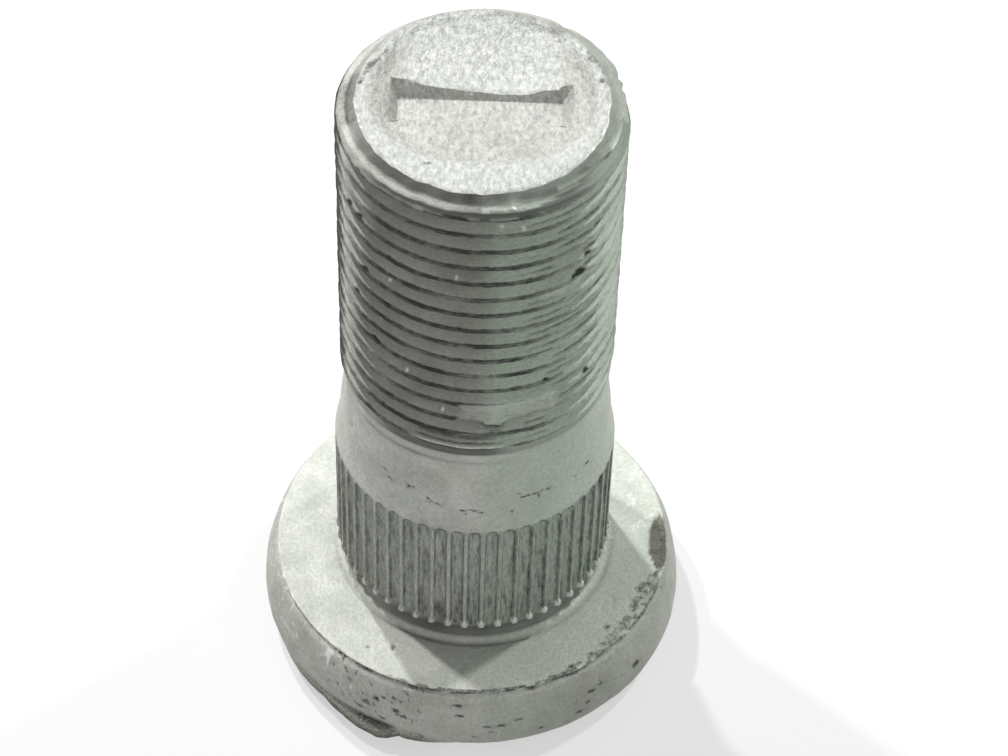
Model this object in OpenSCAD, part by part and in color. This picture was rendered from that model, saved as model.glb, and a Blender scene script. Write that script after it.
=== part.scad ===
// Wheel stud, cold forged in one piece, standing on its head with the axis up.
// Sizes are in millimetres. The origin is the middle of the head's underside.
// From the floor up: bulged head, undercut, serrated shank, taper, rolling
// neck, threaded length at crest size, and a pressed and slotted end face.

/* [Head] */
// Largest diameter of the head, low on its bulged side
head_d = 32.2; // [31:0.1:36]
// Diameter of the bearing face at its sharp outer edge
bearing_d = 30; // [28:0.1:30.8]
// Height of the head from the floor to the bearing face
head_h = 6.6; // [5:0.1:9]
// Radius that rolls the side of the head under to the floor
head_under_r = 2.4; // [1.2:0.1:3]

/* [Serrated shank] */
// Diameter over the serrations
serration_d = 20.74; // [20.4:0.02:22]
// Length of the serrated band above the undercut
serration_l = 11; // [8:0.5:14]
// Number of ribs round the shank
rib_count = 52; // [40:1:60]
// Depth of the rolled grooves between the ribs
groove_depth = 0.32; // [0.2:0.02:0.4]
// Share of each rib spacing that the groove takes
groove_share = 0.75; // [0.5:0.01:0.8]
// Height of the metal raised at the foot of each rib
toe_rise = 0.2; // [0.1:0.05:0.3]

/* [Undercut below the serrations] */
// Diameter of the undercut
undercut_d = 19.7; // [18.6:0.1:19.9]
// Height of the undercut above the bearing face
undercut_h = 1.9; // [1.6:0.1:2.6]
// Reach of the fillet ring on the bearing face, from the undercut wall
fillet_w = 0.75; // [0.4:0.05:1]

/* [Taper and rolling neck] */
// Length of the taper that guides the serrations into a hub
taper_l = 5.6; // [4:0.1:8]
// Diameter of the neck where the thread runs out
neck_d = 19.2; // [18.6:0.05:19.4]
// Length of the neck
neck_l = 2.7; // [1.5:0.1:4]

/* [Threaded end] */
// Diameter over the thread crests
thread_d = 19.8; // [19.6:0.05:20]
// Length from the neck to the middle of the end face
thread_l = 24.33; // [18:0.01:40]
// Width of the lead-in chamfer at the end
lead_in = 1.4; // [0.8:0.1:1.8]
// Height of the lead-in chamfer
lead_h = 1.1; // [0.8:0.1:1.8]
// Tilt of the sheared end face, higher at the back
end_tilt = 3.2; // [0:0.2:4]

/* [Pressed end face] */
// Length of the pressed oval across the face
oval_l = 15.8; // [14:0.1:16]
// Width of the pressed oval
oval_w = 12.8; // [11:0.1:13]
// Depth of the pressed oval below the rim
oval_depth = 0.6; // [0.4:0.1:1.2]
// Width of the oval's sloping wall
oval_wall = 1; // [0.4:0.1:1.4]
// Length of the slot at its floor
slot_l = 11; // [9:0.1:11.4]
// Width of the slot at its floor
slot_w = 2.2; // [1.6:0.1:2.6]
// Width of the slot's sloping long walls
slot_wall = 0.85; // [0.4:0.05:1]
// Depth of the slot below the pressed oval
slot_depth = 1.1; // [0.8:0.1:2]
// Depth of the hollow left behind the slot, below the rim
hollow_depth = 1.26; // [1:0.02:1.6]

/* [Hidden] */

round_fn = 96;
groove_fn = 16;

head_r = head_d / 2;
bearing_r = bearing_d / 2;
serration_r = serration_d / 2;
undercut_r = undercut_d / 2;
neck_r = neck_d / 2;
thread_r = thread_d / 2;
rim_r = thread_r - lead_in;

// heights from the floor
bearing_z = head_h;
toe_z = bearing_z + undercut_h;
serration_z = toe_z + serration_l;
taper_z = serration_z + taper_l;
thread_z = taper_z + neck_l;
face_z = thread_z + thread_l;

// the rolled side of the head: one arc above its widest ring, one below
flare = head_r - bearing_r;
flare_h = bearing_z - head_under_r;
flare_r = (flare_h * flare_h + flare * flare) / (2 * flare);
flare_a = asin(flare_h / flare_r);
arc_steps = 6;

// the undercut: fillet ring at the bearing face, then the wall, then the toe
fillet_h = 0.9;
toe_h = 0.5;
toe_r = serration_r + toe_rise;
undercut_lip = 0.35;

// the taper: a short quick fall from the serrations, then a long slow one
taper_knee = taper_l * 0.25;
taper_knee_r = serration_r - (serration_r - neck_r) * 0.35;
taper_hip = taper_l * 0.6;
taper_hip_r = serration_r - (serration_r - neck_r) * 0.55;
thread_start = 0.5;

// one groove is the part of an upright round cutter that bites into the shank
rib_step = 360 / rib_count;
groove_half = PI * serration_r * groove_share / rib_count;
cutter_out = (groove_half * groove_half - groove_depth * groove_depth) / (2 * groove_depth);
cutter_r = cutter_out + groove_depth;
arch_h = 0.5;
cutter_tip_r = cutter_r * 0.3;
rib_turn = 0.27;

// the end face is drawn in its own tilted frame, with its rim at height zero
over = 3;
oval_y = 0.5;
oval_x = (oval_l - oval_w) / 2;
slot_draft = 0.6;
slot_y = 0.4;
hollow_r = 20;
hollow_x = 0.6;
hollow_y = 1.7;

// points of an arc in the plane of the profile
function arc(x, y, r, from, to, steps) =
    [for (i = [0 : steps]) let (a = from + (to - from) * i / steps) [x + r * cos(a), y + r * sin(a)]];

// outline of the stud from the floor to above its end face
module stud_profile() {
    polygon(concat(
        [[0, 0]],
        arc(head_r - head_under_r, head_under_r, head_under_r, -90, 0, arc_steps),
        arc(head_r - flare_r, head_under_r, flare_r, flare_a / arc_steps, flare_a, arc_steps - 1),
        [
            [undercut_r + fillet_w, bearing_z],
            [undercut_r + fillet_w * 0.35, bearing_z + fillet_h * 0.35],
            [undercut_r, bearing_z + fillet_h],
            [undercut_r, toe_z - undercut_lip],
            [toe_r, toe_z],
            [serration_r, toe_z + toe_h],
            [serration_r, serration_z],
            [taper_knee_r, serration_z + taper_knee],
            [taper_hip_r, serration_z + taper_hip],
            [neck_r, taper_z],
            [neck_r, thread_z],
            [thread_r, thread_z + thread_start],
            [thread_r, face_z + over],
            [0, face_z + over]
        ]
    ));
}

// one rolled groove with an arched upper end, open to the undercut below
module groove() {
    translate([serration_r + cutter_out, 0, 0]) {
        translate([0, 0, bearing_z + fillet_h])
            cylinder(h = serration_z - arch_h - bearing_z - fillet_h, r = cutter_r, $fn = groove_fn);
        translate([0, 0, serration_z - arch_h])
            cylinder(h = arch_h, r1 = cutter_r, r2 = cutter_tip_r, $fn = groove_fn);
    }
}

// everything above the sheared plane, with the ring outside the lead-in
module end_trim() {
    translate([0, 0, over])
        cube([thread_d * 2, thread_d * 2, over * 2], center = true);
    rotate_extrude($fn = round_fn)
        polygon([
            [rim_r, 0],
            [rim_r + over, -over * lead_h / lead_in],
            [rim_r + over, over],
            [rim_r, over]
        ]);
}

// the oval that the die pressed into the end, with sloping walls
module pressed_oval() {
    half_w = oval_w / 2;
    run = oval_wall * over / oval_depth;
    translate([0, oval_y, 0]) {
        for (side = [-1, 1])
            translate([side * oval_x, 0, -oval_depth])
                cylinder(h = oval_depth + over, r1 = half_w - oval_wall, r2 = half_w + run, $fn = round_fn);
        rotate([90, 0, 90])
            linear_extrude(height = oval_x * 2, center = true)
                polygon([
                    [oval_wall - half_w, -oval_depth],
                    [half_w - oval_wall, -oval_depth],
                    [half_w + run, over],
                    [-half_w - run, over]
                ]);
    }
}

// what the slot takes along its length, between its sloping front and back
module slot_run() {
    rise = oval_depth / slot_depth;
    rotate([90, 0, 90])
        linear_extrude(height = thread_d, center = true)
            polygon([
                [slot_y - slot_w / 2, -oval_depth - slot_depth],
                [slot_y + slot_w / 2, -oval_depth - slot_depth],
                [slot_y + slot_w / 2 + slot_wall * (1 + rise), 0],
                [slot_y - slot_w / 2 - slot_wall * (1 + rise), 0]
            ]);
}

// what the slot takes across its width, between its sloping ends
module slot_span() {
    rise = oval_depth / slot_depth;
    rotate([90, 0, 0])
        linear_extrude(height = thread_d, center = true)
            polygon([
                [-slot_l / 2, -oval_depth - slot_depth],
                [slot_l / 2, -oval_depth - slot_depth],
                [slot_l / 2 + slot_draft * (1 + rise), 0],
                [-slot_l / 2 - slot_draft * (1 + rise), 0]
            ]);
}

// the rough hollow behind the slot that the die never reached
module hollow() {
    intersection() {
        translate([hollow_x, hollow_y, hollow_r - hollow_depth])
            sphere(r = hollow_r, $fn = round_fn);
        translate([0, slot_y + thread_d, 0])
            cube([thread_d * 2, thread_d * 2, over * 2], center = true);
    }
}

module wheel_stud() {
    color("silver")
        difference() {
            rotate_extrude($fn = round_fn)
                stud_profile();
            for (i = [0 : rib_count - 1])
                rotate([0, 0, (i + rib_turn) * rib_step])
                    groove();
            translate([0, 0, face_z])
                rotate([end_tilt, 0, 0]) {
                    end_trim();
                    pressed_oval();
                    intersection() {
                        slot_run();
                        slot_span();
                    }
                    hollow();
                }
        }
}

wheel_stud();
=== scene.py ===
import bpy
import bmesh
import math
from mathutils import Matrix, Vector, noise
from mathutils.geometry import delaunay_2d_cdt


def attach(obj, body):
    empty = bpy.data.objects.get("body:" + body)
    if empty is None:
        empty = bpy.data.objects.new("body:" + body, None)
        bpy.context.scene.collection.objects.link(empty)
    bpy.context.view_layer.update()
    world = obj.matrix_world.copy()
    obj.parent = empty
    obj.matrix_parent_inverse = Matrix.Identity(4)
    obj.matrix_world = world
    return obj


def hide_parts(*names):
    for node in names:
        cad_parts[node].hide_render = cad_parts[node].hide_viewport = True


# wheel stud: cold forged, rolled and zinc-flake coated, standing on its head
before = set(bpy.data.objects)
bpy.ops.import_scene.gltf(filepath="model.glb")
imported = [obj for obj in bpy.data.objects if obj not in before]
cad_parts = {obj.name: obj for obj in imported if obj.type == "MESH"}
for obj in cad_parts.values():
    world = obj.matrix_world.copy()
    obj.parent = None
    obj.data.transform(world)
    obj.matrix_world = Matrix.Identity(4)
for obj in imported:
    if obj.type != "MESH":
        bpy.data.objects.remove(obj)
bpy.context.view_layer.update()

# sizes in mm
MM = 0.001

HEAD_R = 16.1
BEARING_Z = 6.6
UNDER_R = 2.4
FLARE_R = 8.57

SERRATION_R = 10.37
SERRATION_Z = 19.5
RIBS = 52
RIB_PHASE = 0.27
GROOVE_SHARE = 0.79
GROOVE_DEPTH = 0.32
ARCH_H = 0.5

THREAD_END_Z = 27.8
NECK_R = 9.64
CREST_R = 9.9
ROOT_R = 9.02
PITCH = 1.5
CREST_FLAT = 0.24
FRONT_CREST_Z = 50.57
FLANK_RISE = (CREST_R - ROOT_R) * math.tan(math.radians(30))

FACE_Z = 52.13
FACE_TILT = math.radians(3.2)
RIM_R = 8.5
OVAL_HALF = 1.5
OVAL_R = 6.4
OVAL_Y = 0.5
OVAL_DEPTH = 0.6
# the slot at its floor, and how far each wall runs out: left, right, front, back
SLOT = (-5.72, 5.32, -0.7, 1.5)
SLOT_RUN = (0.5, 0.7, 0.85, 0.8)
SLOT_DEPTH = 1.1
# height of the torn steel along the slot's back edge
TORN_LINE = ((-9.0, -0.55), (-6.2, -0.57), (-5.1, -0.7), (-4.5, -0.84), (-3.9, -0.97), (-2.5, -1.08),
             (-0.5, -1.22), (1.3, -1.32), (2.7, -1.3), (3.2, -1.24), (4.0, -1.02), (5.0, -0.97),
             (5.15, -0.82), (5.4, -0.7), (6.2, -0.62), (9.0, -0.55))

# places of the columns round the stud; the seam is at the back
SEAM = 90.0


def columns(front_step, back_step):
    """Azimuths for one turn from the seam, closer together on the front."""
    places = []
    for start, end, step in ((90, 180, back_step), (180, 360, front_step), (360, 450, back_step)):
        parts = round((end - start) / step)
        places += [start + (end - start) * i / parts for i in range(parts)]
    return places


# finish of each zone, in the order of the material slots
FORGED, SERRATED, ROLLED, SHEARED = range(4)


def ease(low, high, value):
    """0 below low, 1 above high, smooth between."""
    t = min(max((value - low) / (high - low), 0.0), 1.0)
    return t * t * (3 - 2 * t)


def rough(point, size, seed=0):
    """Even-handed unevenness of about -1 to 1, with lumps of this size in mm."""
    x, y, z = point
    return noise.noise(Vector((x / size, y / size, z / size + 31.7 * seed)))


def at(azimuth, radius, z):
    """Point in mm at an azimuth in degrees, counted from +X towards the back."""
    a = math.radians(azimuth)
    return (radius * math.cos(a), radius * math.sin(a), z)


def between(stops, value):
    """Straight lines between (place, height) stops."""
    for (a, p), (b, q) in zip(stops, stops[1:]):
        if a <= value <= b:
            return p + (q - p) * (value - a) / (b - a)
    return 0.0


def turn_gap(a, b):
    """Degrees from azimuth b to azimuth a, between -180 and 180."""
    return (a - b + 180) % 360 - 180


class Skin:
    """Points, faces, wear and painted light and shade of the stud's one closed skin."""

    def __init__(self):
        self.points = []
        self.faces = []
        self.zones = []
        # per-point masks: dirt and painted shade, rubbed metal and painted highlights, bare steel, scale,
        # painted green-tinted light, and an even film of painted shade
        self.wear_and_painted_light = {"grime": [], "bright": [], "sheared": [], "scale": [], "green": [], "film": []}

    def add(self, point, **wear_and_painted_light):
        self.points.append(point)
        for name, values in self.wear_and_painted_light.items():
            values.append(min(max(wear_and_painted_light.get(name, 0.0), 0.0), 1.0))
        return len(self.points) - 1

    def face(self, zone, *corners):
        self.faces.append(corners)
        self.zones.append(zone)

    def band(self, upper, lower, zone, closed=True):
        """Faces between two rows with the same number of points."""
        last = len(upper) if closed else len(upper) - 1
        for j in range(last):
            k = (j + 1) % len(upper)
            self.face(zone, upper[j], lower[j], lower[k], upper[k])

    def lace(self, upper, upper_at, lower, lower_at, zone):
        """Triangles between two closed rows with different columns."""
        i = j = 0
        while i < len(upper) or j < len(lower):
            next_up = upper_at[i + 1] if i + 1 < len(upper) else upper_at[0] + 360
            next_low = lower_at[j + 1] if j + 1 < len(lower) else lower_at[0] + 360
            a, b = upper[i % len(upper)], lower[j % len(lower)]
            if j >= len(lower) or (i < len(upper) and next_up <= next_low):
                self.face(zone, a, b, upper[(i + 1) % len(upper)])
                i += 1
            else:
                self.face(zone, a, b, lower[(j + 1) % len(lower)])
                j += 1


skin = Skin()


# the thread
# nicks in the thread: azimuth, height, reach and depth in mm
THREAD_NICKS = (
    (315.5, 42.8, 0.75, 0.55), (318.5, 43.7, 0.5, 0.4), (312.0, 42.5, 0.4, 0.3),
    (207.0, 46.0, 0.5, 0.4), (215.3, 45.7, 0.45, 0.4), (218.9, 41.5, 0.5, 0.35),
    (224.1, 36.5, 0.45, 0.45), (226.5, 35.9, 0.4, 0.3), (213.0, 39.4, 0.4, 0.35),
    (233.0, 44.4, 0.35, 0.25), (300.0, 33.4, 0.35, 0.3), (322.0, 33.0, 0.5, 0.3),
)
# bright specks where a crest was chipped
THREAD_SPECKS = ((231.3, 42.2), (229.4, 38.6), (241.1, 34.5), (256.9, 31.5), (284.3, 51.0),
                 (288.2, 49.3), (279.6, 49.5), (226.9, 39.3), (238.5, 47.2), (262.0, 44.9))
# thread flattened by a knock, and the notch torn at its lower edge
SMEAR = (264.0, 306.0, 30.1, 32.9)
NOTCH = ((264.0, 30.9), (268.5, 30.88), (271.5, 30.8), (275.0, 30.12), (277.0, 30.05),
         (281.5, 30.05), (284.0, 30.6), (288.5, 30.9), (296.0, 30.85), (306.0, 30.8))
# lighter rubs where crests are pressed flat: azimuths, heights, share
RUBS = (
    (296.0, 330.0, 41.7, 42.9, 0.75), (318.0, 352.0, 41.0, 46.5, 0.6), (326.0, 356.0, 33.0, 40.0, 0.4),
    (186.0, 214.0, 30.5, 40.5, 0.4), (285.0, 318.0, 36.2, 37.4, 0.35), (196.0, 226.0, 47.0, 49.0, 0.4),
)


# upper flank of the first turn: height above the crest's middle, and radius
FIRST_TURN = ((0.0, 9.86), (0.12, 9.82), (0.38, 9.63), (0.44, 9.52), (0.6, 9.08), (0.75, 9.02))


# cracks in the torn rim, as lines over the face with the width of each in mm
FACE_CRACKS = (
    (0.16, (-6.6, 4.3), (-7.22, 3.36), (-7.7, 2.6), (-8.08, 1.89), (-8.3, 0.67)),
    (0.13, (6.6, 5.0), (7.29, 4.28), (7.8, 3.48), (8.1, 2.79), (7.81, 2.07), (8.11, 1.68), (8.3, 0.6)),
    (0.14, (4.45, 7.2), (4.95, 6.75)),
)


def crack_share(u, v):
    """How deep in a crack of the rim this place is, from 0 to 1."""
    share = 0.0
    for width, *line in FACE_CRACKS:
        for (a, b), (c, d) in zip(line, line[1:]):
            along = ((u - a) * (c - a) + (v - b) * (d - b)) / ((c - a) ** 2 + (d - b) ** 2)
            along = min(max(along, 0.0), 1.0)
            off = math.hypot(u - a - along * (c - a), v - b - along * (d - b))
            share = max(share, math.exp(-((off / width) ** 2)))
    return share * (0.75 + 0.5 * rough((u, v, 0), 0.5, 70))


def rim_wear(point):
    """Dirt in the rim's cracks, and bare metal where the rim is burred."""
    u, v = point[0], point[1]
    burr = 0.12 + 0.6 * rough(point, 0.5, 16) + 0.45 * ease(6.6, 7.6, u) * ease(1.0, -0.5, v)
    burr += 0.35 * ease(-7.4, -8.0, u) * ease(0.4, -0.2, v) - 0.4 * ease(4.0, 7.0, v)
    dirt_and_shade = crack_share(u, v)
    return {"grime": dirt_and_shade, "bright": burr * (1 - dirt_and_shade)}


# dents in the rim: azimuth, reach in degrees, depth in mm
RIM_DENTS = ((57, 3.0, 0.2), (20, 2.0, 0.2), (13.5, 1.8, 0.18), (247, 4, 0.1),
             (354, 5, 0.12), (150, 3, 0.12), (285, 3, 0.1))


def rim_wave(azimuth):
    """How far the sheared rim wanders in and out."""
    p = at(azimuth, RIM_R, 0)
    wave = 0.06 * rough(p, 1.6, 3) + 0.07 * rough(p, 0.7, 4)
    for place, reach, depth in RIM_DENTS:
        wave -= depth * math.exp(-((turn_gap(azimuth, place) / reach) ** 2))
    return wave


def rim_point(azimuth):
    """Edge between the lead-in and the end face."""
    r = RIM_R + rim_wave(azimuth)
    a = math.radians(azimuth)
    lift = 0.035 * rough(at(azimuth, RIM_R, 0), 1.1, 5)
    return (r * math.cos(a), r * math.sin(a) * math.cos(FACE_TILT),
            FACE_Z + lift + r * math.sin(a) * math.sin(FACE_TILT))


def crest_offset(azimuth, z):
    """Height above the middle of the nearest crest, within half a pitch."""
    crest = FRONT_CREST_Z - PITCH * (azimuth - 270) / 360
    return (z - crest + PITCH / 2) % PITCH - PITCH / 2


def worn_patch(azimuth, z, patch):
    """How far inside a worn patch this place is, with soft edges."""
    low, high, floor, top = patch
    return (ease(low, low + 6, azimuth) * (1 - ease(high - 8, high, azimuth))
            * ease(floor, floor + 0.4, z) * (1 - ease(top - 0.5, top, z)))


# painted shade on the lead-in and on its lower edge, heaviest on the front: azimuth and share
CONE_SHADE = ((0, 0.45), (40, 0.3), (150, 0.3), (180, 0.36), (196, 0.42), (208, 0.7), (226, 0.82),
             (272, 0.82), (290, 0.7), (303, 0.6), (328, 0.6), (345, 0.48), (360, 0.45))
BAND_SHADE = ((0, 0.4), (180, 0.3), (230, 0.12), (256, 0.15), (268, 0.46), (290, 0.6), (305, 0.62),
             (345, 0.5), (360, 0.4))


def neck_film(around):
    """Painted shade where the thread runs out into the neck, thickest on the front left."""
    return 0.38 + 0.5 * ease(222, 236, around) * (1 - ease(274, 290, around))


def thread_point(azimuth, z, rim):
    """Point, wear and painted light and shade of the left-hand thread, its lead-in and its run-out."""
    place = at(azimuth, CREST_R, z)
    around = azimuth % 360
    side = abs(crest_offset(azimuth, z) + 0.03 * rough(place, 2.6, 17))
    drop = min(max((side - CREST_FLAT / 2) / FLANK_RISE, 0.0), 1.0)
    crest = 1 - ease(0.0, 0.14, drop)
    depth = drop * (CREST_R - ROOT_R)
    depth += 0.03 * rough(place, 0.9, 7) + 0.025 * rough(place, 0.35, 8)
    depth += crest * (0.04 + 0.06 * rough(place, 1.7, 9))
    # the rolls close the crest from both sides and leave a seam along it
    above = crest_offset(azimuth, z)
    right = ease(262, 290, around)
    seam = max(0.0, 1 - side / 0.07) * ease(-0.35, 0.35, rough(place, 2.4, 18)) * (0.35 + 0.65 * right)
    # laps on the upper flanks, where the metal folded as it flowed
    lap = math.exp(-(((drop - 0.48) / 0.12) ** 2)) * (above > 0)
    lap *= ease(272, 300, around) * ease(-0.35, 0.15, rough(place, 3.0, 26))
    depth += 0.1 * seam + 0.08 * lap
    # painted shade: the crests are darker than the flanks, and the roots a little darker
    crest_shade = ease(0.28, 0.17, side) if above > 0 else ease(0.2, 0.12, side)
    crest_shade *= (1 + 0.22 * rough(place, 1.9, 28)) * (1 - 0.06 * right) * (1 - 0.4 * ease(288, 318, around))
    crest_shade *= 0.7 + 0.3 * ease(202, 224, around)
    grime = 0.35 * ease(0.78, 0.92, drop) + 0.78 * crest_shade + 0.62 * lap
    # painted highlight in a thin line along each crest, weaker on the right
    edge = math.exp(-(((above - 0.3) / 0.05) ** 2))
    bright = edge * (0.7 * rough(place, 0.8, 10) - 0.1) * (1 - 0.3 * right)

    for low, high, floor, top, share in RUBS:
        if low < around < high and floor < z < top:
            rub = share * worn_patch(around, z, (low, high, floor, top))
            rub *= ease(-0.5, 0.3, rough(place, 1.2, 19))
            depth += (0.16 + 0.06 * rough(place, 0.6, 20) - depth) * rub
            grime *= 1 - 0.8 * rub
    low, high, floor, top = SMEAR
    if low - 3 < around < high + 3:
        inside = ease(low - 2, low + 2, around) * (1 - ease(high - 5, high + 3, around))
        edge = between(NOTCH, around) if low < around < high else 30.9
        patch = inside * ease(edge, edge + 0.12, z) * (1 - ease(top - 0.7, top + 0.1, z))
        patch *= 0.9 + 0.2 * rough(place, 1.1, 11)
        patch = min(max(patch, 0.0), 1.0)
        depth += (0.14 + 0.12 * rough(place, 0.6, 12) - depth) * patch
        torn = inside * math.exp(-(((z - edge) / 0.2) ** 2)) * ease(-0.1, 0.1, 0.3 - abs(around - 279) / 60)
        depth += torn * 0.45
        grime = max(grime * (1 - patch), torn, 0.42 * patch)
    for where, height in THREAD_SPECKS:
        across = math.radians(turn_gap(azimuth, where)) * CREST_R
        if abs(across) < 0.6 and abs(z - height) < 0.5:
            bright = max(bright, 1.1 * math.exp(-((across / 0.17) ** 2) - (((z - height) / 0.11) ** 2)))
    for where, height, reach, bite in THREAD_NICKS:
        height += 0.14 - crest_offset(where, height)
        across = math.radians(turn_gap(azimuth, where)) * CREST_R
        if abs(across) > 3 * reach or abs(z - height) > 3 * reach:
            continue
        near = math.exp(-((across / (0.8 * reach)) ** 2) - (((z - height) / (0.3 * reach)) ** 2))
        depth += 0.4 * bite * near
        grime = max(grime, 1.2 * near)
        bright *= 1 - near

    # the groove fades out where the rolls left the neck
    full = ease(THREAD_END_Z - 0.05, THREAD_END_Z + 0.2, z)
    radius = CREST_R - depth
    # the first turn is rolled on the chamfer, so it isn't quite full, and painted
    # shade fills the fold above it
    above = z - FRONT_CREST_Z + PITCH * (azimuth - 270) / 360
    front = ease(100, 130, azimuth) * (1 - ease(400, 440, azimuth))
    film = 0.0
    if 0 < above < PITCH / 2:
        fuller = between(FIRST_TURN, above) + 0.02 * rough(place, 0.5, 8)
        radius += max(fuller - radius, 0.0) * front
        foot = 0.69 + 0.08 * ease(268, 288, around)
        fold = ease(foot - 0.03, foot + 0.03, rim[2] - z) * ease(206, 230, around) * front
        film = fold * (0.88 + 0.09 * ease(0.16, 0.3, above)) * ease(0.08, 0.15, above)
        film = max(film, 0.44 * ease(276, 288, around) * ease(0.4, 0.46, above) * front)
        film *= (1 - 0.12 * ease(280, 300, around)) * (1 - 0.55 * ease(308, 330, around))
        grime *= 1 - 0.6 * fold * ease(0.14, 0.2, above)
        bright *= 1 - fold
    # the last turn on the front: a painted highlight along its crest, and painted shade in two dark lines on
    # the flank above it and just below the crest
    last = z - FRONT_CREST_Z + 15 * PITCH + PITCH * (azimuth - 270) / 360
    if abs(last) < 0.7:
        shown = ease(238, 250, around) * (1 - ease(276, 290, around))
        ring = math.exp(-(((last - 0.13) / 0.07) ** 2)) * shown
        lines = max(math.exp(-(((last - 0.31) / 0.05) ** 2)), math.exp(-(((last - 0.5) / 0.06) ** 2)))
        grime = max(grime * (1 - shown * ease(0.6, 0.4, last)), 0.78 * lines * shown)
        film = max(film, 0.92 * shown * ease(0.08, 0.0, last))
        bright = max(bright * (1 - shown), 0.7 * ring)
    radius = NECK_R + (radius - NECK_R) * full
    grime *= full
    film = max(film, neck_film(around) * (1 - full))
    under = rim[2] - z
    cone = math.hypot(rim[0], rim[1]) + 1.16 * under + 0.25 * ease(0.48, 0.62, under)
    cone += 0.03 * rough(place, 0.8, 13)
    if cone < radius:
        radius = cone
        bright = 0.0
        grime *= 0.2
        # painted shade over the lead-in and its lower edge, heaviest on the front
        cone_shade = between(CONE_SHADE, around) * (1 + 0.25 * rough(place, 1.3, 29))
        band_shade = between(BAND_SHADE, around)
        film = max(film, band_shade + (cone_shade - band_shade) * ease(0.54, 0.45, under))
    grime += 0.1 * rough(place, 3.1, 14) + 0.08 * rough(place, 0.8, 15)
    # far left the flanks turn from the light
    grime += 0.4 * ease(206, 192, around) * ease(150, 170, around)
    return at(azimuth, radius, z), grime, bright, film


def green_share(azimuth, place):
    """Share of painted green-tinted light on the front right of the shank."""
    turn = turn_gap(azimuth, 270)
    green_cast = ease(0, 11, turn) * (1 - ease(85, 150, turn))
    return green_cast * (0.8 + 0.4 * rough(place, 4.0, 21))


# heights within one pitch, below the middle of a crest, where the form turns
turns = (0.0, CREST_FLAT / 2, 0.2, CREST_FLAT / 2 + FLANK_RISE,
         PITCH - CREST_FLAT / 2 - FLANK_RISE, 0.97, 1.04, 1.1, 1.15, 1.21, 1.27, 1.32,
         PITCH - CREST_FLAT / 2)
start_z = FRONT_CREST_Z - PITCH / 2 + 3 * PITCH
thread_at = columns(1.0, 3.34) + [SEAM + 360]
rims = [rim_point(a) for a in thread_at]
previous = None
pitches = int((start_z - THREAD_END_Z) / PITCH) + 2
depths = [n * PITCH + t for n in range(pitches) for t in turns]
# two rows more where the lead-in cuts the thread; the lower one closes up at the seam
LEAD_IN_ROWS = (0.41, PITCH + 0.41)
depths = sorted(depths + list(LEAD_IN_ROWS))
for below, next_below in zip(depths, depths[1:] + [depths[-1] + 0.12]):
    row = []
    for j, azimuth in enumerate(thread_at):
        z = start_z - below - PITCH * (azimuth - SEAM) / 360
        if below == LEAD_IN_ROWS[1]:
            z += 0.21 * ease(400, 450, azimuth)
        if z >= rims[j][2] and z - next_below + below > rims[j][2] - 0.08:
            row.append(skin.add(rims[j], **rim_wear(rims[j])))
            continue
        # the last row above the rim is drawn just under it
        z = min(z, rims[j][2] - 0.04)
        z = max(z, THREAD_END_Z)
        point, grime, bright, film = thread_point(azimuth, z, rims[j])
        row.append(skin.add(point, grime=grime, bright=bright, film=film,
                            green=green_share(azimuth, point)))
    if previous:
        skin.band(previous, row, ROLLED, closed=False)
    previous = row


# neck, taper and serrations
# outline of the neck and taper: height and radius
TAPER = ((27.8, 9.64), (27.45, 9.62), (27.2, 9.61), (27.08, 9.66), (26.75, 9.67), (26.52, 9.66),
         (26.4, 9.62), (26.28, 9.58), (26.14, 9.61), (25.95, 9.62), (25.5, 9.58), (24.9, 9.61),
         (24.2, 9.74),
         (23.7, 9.81), (23.2, 9.87), (22.7, 9.92), (22.2, 9.96), (21.7, 9.995), (21.2, 10.04),
         (20.8, 10.09), (20.4, 10.17), (20.0, 10.27), (19.75, 10.33))
# pits in the taper: azimuth, height, reach across, reach up, in mm
TAPER_PITS = (
    (230.6, 23.05, 0.3, 0.12), (233.4, 22.5, 0.32, 0.14), (235.2, 22.25, 0.22, 0.1),
    (240.6, 22.95, 0.2, 0.13), (242.9, 22.6, 0.26, 0.2), (245.0, 22.7, 0.12, 0.1),
    (251.6, 22.05, 0.26, 0.15), (253.6, 21.8, 0.3, 0.1), (256.6, 21.7, 0.25, 0.07),
    (266.6, 21.45, 0.3, 0.1), (269.4, 21.62, 0.3, 0.09), (271.6, 21.5, 0.34, 0.11),
    (274.2, 21.3, 0.3, 0.1), (267.6, 21.2, 0.16, 0.08),
    (290.2, 22.75, 0.26, 0.07), (291.8, 22.3, 0.3, 0.08), (294.4, 22.35, 0.26, 0.12),
    (297.4, 22.25, 0.26, 0.13), (300.4, 22.3, 0.3, 0.14), (303.4, 22.25, 0.3, 0.16),
    (299.0, 22.0, 0.12, 0.18), (287.1, 21.0, 0.08, 0.3), (288.2, 21.5, 0.2, 0.06),
    (325.9, 22.05, 0.35, 0.14), (318.0, 21.8, 0.3, 0.1), (205.0, 23.8, 0.3, 0.2),
    (150.0, 22.4, 0.4, 0.15), (121.0, 22.0, 0.35, 0.12), (61.0, 22.5, 0.4, 0.15),
)


def pit_share(azimuth, z, radius, pits):
    """How deep in one of the pits this place is, from 0 to 1."""
    share = 0.0
    for where, height, across, up in pits:
        run = math.radians(turn_gap(azimuth, where)) * radius
        if abs(run) < 3 * across and abs(z - height) < 3 * up:
            share = max(share, math.exp(-((run / across) ** 2) - (((z - height) / up) ** 2)))
    return share


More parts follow.
